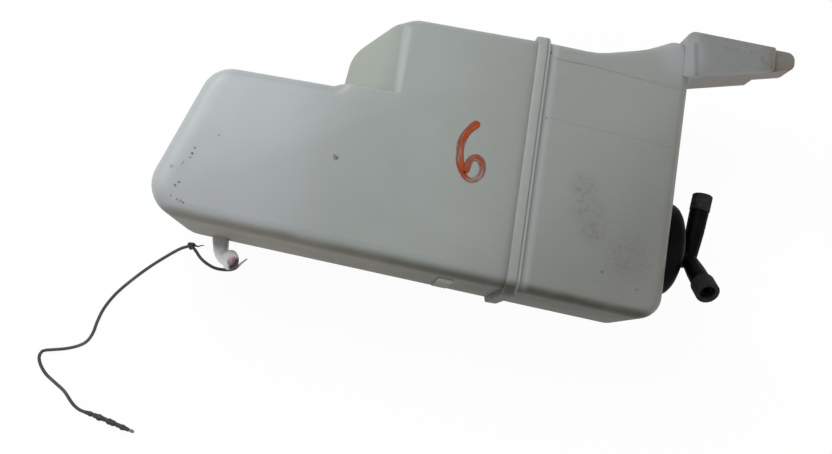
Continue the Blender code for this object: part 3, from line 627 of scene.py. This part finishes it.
elbowLook = {
    "plastic": (0.30, 0.295, 0.275),
    "pale": (0.62, 0.63, 0.62),
    "grime": (0.22, 0.22, 0.20),
    "residue": (0.42, 0.075, 0.080),
    "pinkAndHighlight": (0.80, 0.60, 0.65),
    "dark": (0.030, 0.006, 0.008),
    "unlit": (0, 0, 0),
    "paleFrom": (-0.0745, -0.0825),
    "mouth": inTank(-0.1703, 0.0014, 0.0210),
    "bore": ((-0.0012, 0.0002, -0.0010), 0.0052),
    "stain": ((0.0038, -0.0038, -0.0030), 0.0086),
    "fleck": ((-0.0040, -0.0046, -0.0012), 0.0017),
}


def elbowFinish():
    look = elbowLook
    elbow = Finish("cloudyElbowPlastic")
    wobble = elbow.wobbled(500, 0.0018)

    def byMouth(name):
        away, radius = look[name]
        return elbow.spot(look["mouth"] + Vector(away), radius, wobble)

    cloud = elbow.noise(260, 4, 0.6)
    pale = elbow.ease(elbow.y + cloud * 0.002, *look["paleFrom"])
    colour = elbow.mix(pale, look["plastic"], look["pale"])
    colour = elbow.mix(cloud * 0.3, colour, look["grime"])
    # the bore: pink residue, painted paler as a highlight inside the dark hole
    bore = byMouth("bore")
    colour = elbow.mix(bore * 0.75, colour, look["pinkAndHighlight"])
    stain = byMouth("stain")
    drops = elbow.ease(elbow.noise(900, 3, 0.7), 0.42, 0.55)
    colour = elbow.mix(elbow.clamp(stain * (0.9 + 0.6 * drops)), colour, look["dark"])
    colour = elbow.mix(byMouth("fleck") * 0.85, colour, look["residue"])
    elbow.bump(elbow.noise(500, 3), 0.0003, 0.4)
    # painted glow: emission stands in for light that the clear plastic lets through
    glow = elbow.mix(pale * (1.0 - elbow.clamp(stain * 2.0)), look["unlit"], look["pale"])
    glow = elbow.mix(bore, glow, look["pinkAndHighlight"])
    return elbow.put(Base_Color=colour, Roughness=0.22 + 0.25 * cloud, Emission_Color=glow,
                     Emission_Strength=0.30, Subsurface_Weight=0.25,
                     Subsurface_Radius=(1.0, 0.95, 0.9), Subsurface_Scale=0.004)


capLook = {
    "black": (0.0016, 0.0016, 0.0020),
    "dust": (0.100, 0.100, 0.098),
    "streak": (0.060, 0.060, 0.078),
}


def capFinish():
    cap = Finish("agedBlackPlastic")
    dust = cap.ease(cap.noise(90, 4, 0.65), 0.50, 0.72) * (0.3 + 0.7 * cap.noise(1100, 2))
    colour = cap.mix(dust * 0.035, capLook["black"], capLook["dust"])
    streak = cap.noise(60, 3, 0.6, cap.stretched((9, 1, 9)))
    colour = cap.mix(cap.ease(streak, 0.55, 0.75) * 0.05, colour, capLook["streak"])
    cap.bump(cap.noise(800, 3) * 0.3 + cap.noise(70, 2), 0.00035, 0.45)
    rough = 0.42 + 0.22 * cap.noise(60, 3) + 0.15 * dust
    return cap.put(Base_Color=colour, Roughness=rough, Specular_IOR_Level=0.05)


# Each rubber's grey, and how dusty it is
hoseLook = {
    "upper": (0.011, 0.26),
    "lower": (0.007, 0.14),
    "seal": (0.02, 0.1),
    "dust": (0.105, 0.105, 0.100),
    "nick": (0.17, 0.17, 0.165),
}


def hoseFinish(name, grey, dusty):
    hose = Finish(name)
    grain = hose.noise(1400, 3, 0.65)
    colour = hose.mix(grain, (grey * 0.7,) * 3, (grey * 1.5, grey * 1.5, grey * 1.45))
    dust = hose.ease(hose.noise(160, 4, 0.7), 0.48, 0.70)
    colour = hose.mix(dust * dusty, colour, hoseLook["dust"])
    nick = hose.ease(hose.noise(480, 3, 0.7), 0.67, 0.74)
    colour = hose.mix(nick * 0.5, colour, hoseLook["nick"])
    hose.bump(grain * 0.5 + hose.noise(180, 3), 0.0005, 0.6)
    return hose.put(Base_Color=colour, Roughness=0.70 + 0.18 * grain, Specular_IOR_Level=0.22)


wireLook = {
    "cover": ((0.022, 0.022, 0.025), (0.060, 0.060, 0.064)),
    "dust": (0.14, 0.135, 0.125),
    "wet": (0.150, 0.030, 0.040),
    "wetFrom": (-0.1385, -0.1358),
    "bleached": (0.78, 0.58, 0.60),
    "bleachedFrom": (-0.1352, -0.1325),
    "tape": ((0.020, 0.020, 0.021), (0.055, 0.053, 0.052)),
    "fluff": (0.150, 0.140, 0.130),
    "bare": ((0.24, 0.22, 0.20), (0.10, 0.095, 0.09)),
}


def wireFinish():
    look = wireLook
    wire = Finish("oldWireCover")
    wear = wire.noise(300, 4, 0.6)
    colour = wire.mix(wear, *look["cover"])
    dust = wire.ease(wire.noise(90, 3), 0.50, 0.68)
    colour = wire.mix(dust * 0.35, colour, look["dust"])
    colour = wire.mix(wire.ease(wire.x, *look["wetFrom"]), colour, look["wet"])
    bleached = wire.ease(wire.x + wire.noise(500, 2) * 0.002, *look["bleachedFrom"])
    colour = wire.mix(bleached, colour, look["bleached"])
    wire.bump(wear, 0.0003, 0.5)
    return wire.put(Base_Color=colour, Roughness=0.50 + 0.25 * wear)


def tapeFinish():
    tape = Finish("oldWireTape")
    weave = tape.noise(1800, 2, 0.5)
    colour = tape.mix(weave, *wireLook["tape"])
    fluff = tape.ease(tape.noise(330, 4, 0.7), 0.52, 0.70)
    colour = tape.mix(fluff * 0.55, colour, wireLook["fluff"])
    tape.bump(weave * 0.4 + tape.noise(400, 3), 0.0006, 0.8)
    return tape.put(Base_Color=colour, Roughness=0.78 + 0.15 * fluff)


def endFinish():
    end = Finish("dullWireEnd")
    tarnish = end.noise(900, 4, 0.6)
    colour = end.mix(tarnish, *wireLook["bare"])
    end.bump(tarnish, 0.0002, 0.5)
    return end.put(Base_Color=colour, Roughness=0.45 + 0.3 * tarnish, Metallic=0.35)


# Weld bead: its dirty and its clean tone
seamLook = ((0.105, 0.112, 0.098), (0.250, 0.265, 0.240))


def seamFinish():
    seam = Finish("weldFlash")
    tone = seam.noise(240, 4, 0.6)
    seam.bump(tone, 0.0003, 0.5)
    return seam.put(Base_Color=seam.mix(tone, *seamLook), Roughness=0.5 + 0.2 * tone)


# Each stroke: its name, corners, strength, first load of ink, and the loads that follow,
# with the share of the stroke where each change lies
markLook = {
    "ink": (0.340, 0.048, 0.004),
    "thin": (0.330, 0.120, 0.075),
    "edge": (0.105, 0.026, 0.022),
    "width": 0.0025,
    "lift": 0.00006,
    "layer": 0.00004,
    "step": 0.0006,
    "across": 6,
    "reload": 0.14,
    "strokes": [
        ("markDown", [
            (-0.0034, 0.0120), (-0.0079, 0.0074), (-0.0108, 0.0028), (-0.0123, -0.0027),
            (-0.0123, -0.0078), (-0.0115, -0.0127), (-0.0097, -0.0174), (-0.0081, -0.0201),
        ], 1.0, 1.15, [(0.34, 1.15, 0.88), (0.82, 0.88, 1.25)]),
        ("markRound", [
            (-0.0076, -0.0197), (-0.0068, -0.0148), (-0.0053, -0.0109), (-0.0026, -0.0094),
            (0.0004, -0.0107), (0.0019, -0.0140), (0.0018, -0.0181), (-0.0005, -0.0217),
            (-0.0033, -0.0232), (-0.0058, -0.0226), (-0.0079, -0.0210), (-0.0094, -0.0186),
        ], 0.86, 1.2, [(0.16, 1.2, 0.90), (0.56, 0.90, 0.68), (0.90, 0.68, 1.15)]),
    ],
}


def markFinish(name, strength, firstLoad, loads):
    look = markLook
    mark = Finish(name)
    along = mark.make('ShaderNodeUVMap', {}, {}, 0)
    parts = mark.make('ShaderNodeSeparateXYZ', {}, {0: along})
    u = Flow(mark, parts.outputs[0])
    v = Flow(mark, parts.outputs[1])

    def bristles(scale, detail, rough, lengthwise, crosswise):
        drawn = mark.make('ShaderNodeCombineXYZ', {}, {0: lengthwise, 1: crosswise}, 0)
        return mark.noise(scale, detail, rough, drawn)

    streak = bristles(2.4, 4, 0.65, u * 1.5, v * 2.4)
    lines = bristles(3.1, 2, 0.5, u * 0.9 + 4.0, v * 1.9)
    grit = mark.noise(1300, 3, 0.6)
    off = mark.size(v - 0.5)
    load = firstLoad
    for at, low, high in loads:
        load = mark.ease(u, at - look["reload"], at + look["reload"], 0.0, high - low) + load
    ink = mark.ease(streak + (grit - 0.5) * 0.2 + (load - 0.8) * 0.20, 0.44, 0.58)
    rim = mark.ease(off, 0.30, 0.40) * mark.ease(streak, 0.30, 0.55)
    lines = mark.ease(mark.size(lines - 0.5), 0.060, 0.018) * mark.ease(off, 0.44, 0.38)
    colour = mark.mix(ink, look["thin"], look["ink"])
    colour = mark.mix(mark.most(rim * 0.75, lines * 0.6), colour, look["edge"])
    cover = mark.clamp((0.42 + mark.most(ink, lines) * 0.58) * load)
    alpha = mark.clamp(mark.ease(off, 0.50, 0.42) * cover * strength)
    mark.material.surface_render_method = 'BLENDED'
    return mark.put(Base_Color=colour, Roughness=0.45 + 0.2 * grit, Alpha=alpha,
                    Specular_IOR_Level=0.12)


print("finishes ready")


# Wire pieces

def makeWire():
    sizes = wireSizes
    cover = wireFinish()
    radius = sizes["radius"]
    ground = [inTank(x, y, radius + sizes["float"]) for x, y in wireRoute]
    hook = [inTank(*corner) for corner in hookRoute]
    through = knotPlace.copy()
    run = smoothLine([through] + ground, 0.001)
    whole = lineLength(run)
    tipStart = whole - sizes["tipLength"]
    sleeveStart = tipStart - sizes["gap"] - sizes["sleeveLength"]
    free = partOfLine(run, 0.0004, sleeveStart - sizes["gap"])
    lead = smoothLine(list(reversed(hook)) + [through], 0.001) + free
    lead = evenSteps(lead, 0.0024)
    widths = [min(1.0, 0.55 + 0.10 * i) for i in range(len(lead))]
    wire = drawRun("wireLead", lead, radius, widths)
    finishPiece(wire, cover, "tank", "wire_cover", "wire", "wire_hook")
    sleeve = makeSleeve(partOfLine(run, sleeveStart, sleeveStart + sizes["sleeveLength"]))
    tip = makeTip(partOfLine(run, tipStart, whole))
    knot = makeKnot(cover)
    length = lineLength(lead)
    print("wire", round(length, 4))


def makeSleeve(line):
    sizes = wireSizes
    steps = evenSteps(line, 0.0006)
    last = len(steps) - 1
    widths = []
    for i in range(last + 1):
        share = i / last
        lump = 0.13 * math.sin(6.5 + share * 23) + 0.09 * math.sin(share * 61)
        lump += sum(high * math.exp(-((share - at) / wide) ** 2) for high, at, wide in sizes["humps"])
        blend = min(1.0, 7 * share, 7 * (1 - share))
        widths.append(0.66 + blend * (0.26 + lump * 0.9))
    radius = sizes["sleeveRadius"]
    laid = [Vector((p.x, p.y, radius * w + sizes["float"])) for p, w in zip(steps, widths)]
    sleeve = asMesh(drawRun("tapedSleeve", laid, radius, widths, 6))
    facesOut(sleeve)
    creases = bpy.data.textures.new("tapeCreases", 'CLOUDS')
    creases.noise_scale = sizes["creaseWidth"]
    useModifier(sleeve, 'DISPLACE', texture=creases, texture_coords='GLOBAL',
                strength=sizes["crease"], mid_level=0.62)
    smooth(sleeve, 60)
    return finishPiece(sleeve, tapeFinish(), "tank", "wire_tape", "wire_sleeve")


def makeTip(line):
    sizes = wireSizes
    steps = evenSteps(line, 0.0004)
    last = len(steps) - 1
    widths = [0.62 + 0.3 * math.sin(math.pi * min(1, 1.2 * i / last)) for i in range(last + 1)]
    laid = [Vector((p.x, p.y, sizes["tipRadius"] + sizes["float"])) for p in steps]
    tip = asMesh(drawRun("bareWireTip", laid, sizes["tipRadius"], widths, 4))
    facesOut(tip)
    smooth(tip, 60)
    return finishPiece(tip, endFinish(), "tank", "bare_end", "wire_tip")


# An overhand knot with a short tail
def makeKnot(cover):
    sizes = wireSizes
    turns = 72
    size = sizes["knotSize"]
    points = []
    for i in range(turns + 1):
        t = 2 * math.pi * i / turns
        points.append(knotPlace + Vector((
            size * (math.sin(t) + 2 * math.sin(2 * t)),
            size * (math.cos(t) - 2 * math.cos(2 * t)),
            -size * 1.1 * math.sin(3 * t),
        )))
    knot = asMesh(drawRun("wireKnot", points, sizes["knotRadius"], None, 3))
    tail = [knotPlace.lerp(tailPlace, i / 10) for i in range(11)]
    for i, point in enumerate(tail):
        point.y += 0.0004 * math.sin(i * 0.9)
    end = asMesh(drawRun("knotTail", tail, 0.0006, [1.2 - 0.08 * i for i in range(11)], 3))
    deselect()
    end.select_set(True)
    knot.select_set(True)
    bpy.context.view_layer.objects.active = knot
    bpy.ops.object.join()
    facesOut(knot)
    smooth(knot, 60)
    return finishPiece(knot, cover, "tank", "wire_cover", "wire_knot")


makeWire()
print("wire done")


# Tank shells and their small parts

def makeTank():
    milky = tankFinish()
    lower = mergedCopy("lower_shell", "lowerShell")
    finishPiece(lower, milky, "tank", "tank_plastic", "lower_shell")
    upper = mergedCopy("upper_shell", "upperShell")
    finishPiece(upper, milky, "tank", "tank_plastic", "upper_shell")
    makeFlash()
    makeMark()


# A thin uneven bead squeezed out of the weld
flashSizes = {
    "radius": 0.00034,
    "sunk": 0.00055,
    "proud": 0.003,
    "round": 0.009,
    "depth": 0.077,
    "back": 0.003,
    "low": 0.0048,
    "high": 0.1570,
    "step": 0.0012,
    "quarter": 12,
}


def makeFlash():
    sizes = flashSizes
    out = sizes["proud"] - sizes["sunk"]
    low = sizes["low"] - out
    high = sizes["high"] + out
    back = sizes["back"] - out
    front = sizes["back"] + sizes["depth"] + out
    bend = sizes["round"] + out
    points = []
    corners = [(high - bend, front - bend, 0), (low + bend, front - bend, 90),
               (low + bend, back + bend, 180), (high - bend, back + bend, 270)]
    for y, z, start in corners:
        for step in range(sizes["quarter"] + 1):
            angle = math.radians(start + 90 * step / sizes["quarter"])
            points.append(inTank(0, y + bend * math.cos(angle), z + bend * math.sin(angle)))
    points.append(points[0].copy())
    line = evenSteps(points, sizes["step"])
    widths = [1 + 0.25 * math.sin(i * 1.7) * math.sin(i * 0.31) for i in range(len(line))]
    widths[-1] = widths[0]
    flash = asMesh(drawRun("weldFlash", line, sizes["radius"], widths, 2))
    facesOut(flash)
    smooth(flash, 60)
    finishPiece(flash, seamFinish(), "tank", "tank_plastic")


# The hand-drawn figure: one thin ribbon of ink for each stroke
def makeMark():
    look = markLook
    for index, (name, places, strength, firstLoad, loads) in enumerate(look["strokes"]):
        level = tankPlaces["front"] + look["lift"] + look["layer"] * index
        line = smoothLine([Vector((x, y, level)) for x, y in places], look["step"])
        last = len(line) - 1
        bpy.ops.mesh.primitive_grid_add(x_subdivisions=last, y_subdivisions=look["across"], size=1.0)
        ribbon = current(name)
        for vert in ribbon.data.vertices:
            share = vert.co.x + 0.5
            across = vert.co.y
            at = min(int(round(share * last)), last)
            ahead = (line[min(at + 1, last)] - line[max(at - 1, 0)]).normalized()
            side = Vector((-ahead.y, ahead.x, 0))
            swell = 1 + 0.05 * math.sin(at * 0.3)
            swell -= index * (0.10 + 0.20 * math.exp(-((share - 0.78) / 0.16) ** 2))
            near = min(at, last - at) * look["step"] / look["width"]
            if near < 1:
                swell *= math.sqrt(1 - (1 - near) ** 2)  # round ends
            vert.co = line[at] + side * across * 2 * look["width"] * swell
        facesUp(ribbon)
        ink = markFinish(name + "Ink", strength, firstLoad, loads)
        finishPiece(ribbon, ink, "tank", "tank_plastic")
        print(name, "drawn")


makeTank()
print("tank done")


def makeElbow():
    elbow = mergedCopy("outlet_elbow", "outletElbow", 50)
    finishPiece(elbow, elbowFinish(), "tank", "elbow_plastic", "outlet_elbow")


makeElbow()
print("elbow done")


def makeCap():
    cap = mergedCopy("cap", "pushOnCap", 40)
    finishPiece(cap, capFinish(), "cap", "cap_plastic", "cap")
    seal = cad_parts["cap_seal"]
    seal.data.materials.clear()
    seal.data.materials.append(hoseFinish("sealRubber", *hoseLook["seal"]))
    upper = mergedCopy("upper_hose_end", "upperHoseEnd", 40)
    rubber = hoseFinish("dustyHoseRubber", *hoseLook["upper"])
    finishPiece(upper, rubber, "cap", "hose_rubber", "upper_hose_end")
    lower = mergedCopy("lower_hose_end", "lowerHoseEnd", 40)
    rubber = hoseFinish("hoseRubber", *hoseLook["lower"])
    finishPiece(lower, rubber, "cap", "hose_rubber", "lower_hose_end")


makeCap()
print("cap done")


# Floor, world and lamps

stageLook = {
    "floorSize": 6,
    "floorLevel": -0.0002,
    "floor": (0.86, 0.86, 0.86),
    "white": 0.95,
    "sky": (0.88, 0.92, 0.96, 1.0),
    "skyPower": 0.55,
}


# What the camera sees of floor and sky is white, and the light they give is softer
def makeStage():
    look = stageLook
    bpy.ops.mesh.primitive_plane_add(size=look["floorSize"], location=(0, 0, look["floorLevel"]))
    floor = current("floor")
    sheet = Finish("paleFloor")
    rays = sheet.make('ShaderNodeLightPath', {}, {})
    straight = Flow(sheet, rays.outputs["Is Camera Ray"])
    mirrored = Flow(sheet, rays.outputs["Is Glossy Ray"])
    through = Flow(sheet, rays.outputs["Is Transmission Ray"])
    seen = sheet.most(sheet.most(straight, mirrored), through)
    sheet.put(Base_Color=look["floor"], Roughness=0.9)
    glow = sheet.make('ShaderNodeEmission', {}, {"Color": (1.0, 1.0, 1.0), "Strength": 1.0}, 0)
    plain = Flow(sheet, sheet.shader.outputs[0])
    both = sheet.make('ShaderNodeMixShader', {}, {0: seen * look["white"], 1: plain, 2: glow}, 0)
    sheet.feed(sheet.nodes["Material Output"].inputs[0], both)
    floor.data.materials.append(sheet.material)
    world = bpy.data.worlds.new("studio")
    world.use_nodes = True
    bpy.context.scene.world = world
    nodes = world.node_tree.nodes
    links = world.node_tree.links
    back = nodes["Background"]
    back.inputs["Color"].default_value = look["sky"]
    back.inputs["Strength"].default_value = look["skyPower"]
    white = nodes.new('ShaderNodeBackground')
    white.inputs["Strength"].default_value = 1.0
    path = nodes.new('ShaderNodeLightPath')
    swap = nodes.new('ShaderNodeMixShader')
    links.new(path.outputs["Is Camera Ray"], swap.inputs[0])
    links.new(back.outputs[0], swap.inputs[1])
    links.new(white.outputs[0], swap.inputs[2])
    links.new(swap.outputs[0], nodes["World Output"].inputs[0])


# Each lamp: place, power, size and colour
lampLook = {
    "key": ((-0.55, 0.55, 0.85), 9.0, 0.55, (0.93, 0.97, 1.0)),
    "fill": ((0.70, -0.50, 0.90), 3.0, 0.8, (1.0, 0.97, 0.92)),
}


def makeLamps():
    for name, (place, power, size, colour) in lampLook.items():
        data = bpy.data.lights.new(name, 'AREA')
        data.energy = power
        data.size = size
        data.color = colour
        lamp = bpy.data.objects.new(name, data)
        lamp.location = place
        lamp.rotation_euler = (-Vector(place)).to_track_quat('-Z', 'Y').to_euler()
        bpy.context.scene.collection.objects.link(lamp)


makeStage()
makeLamps()
bpy.context.scene.view_settings.view_transform = 'Standard'
deselect()
print("scene ready")
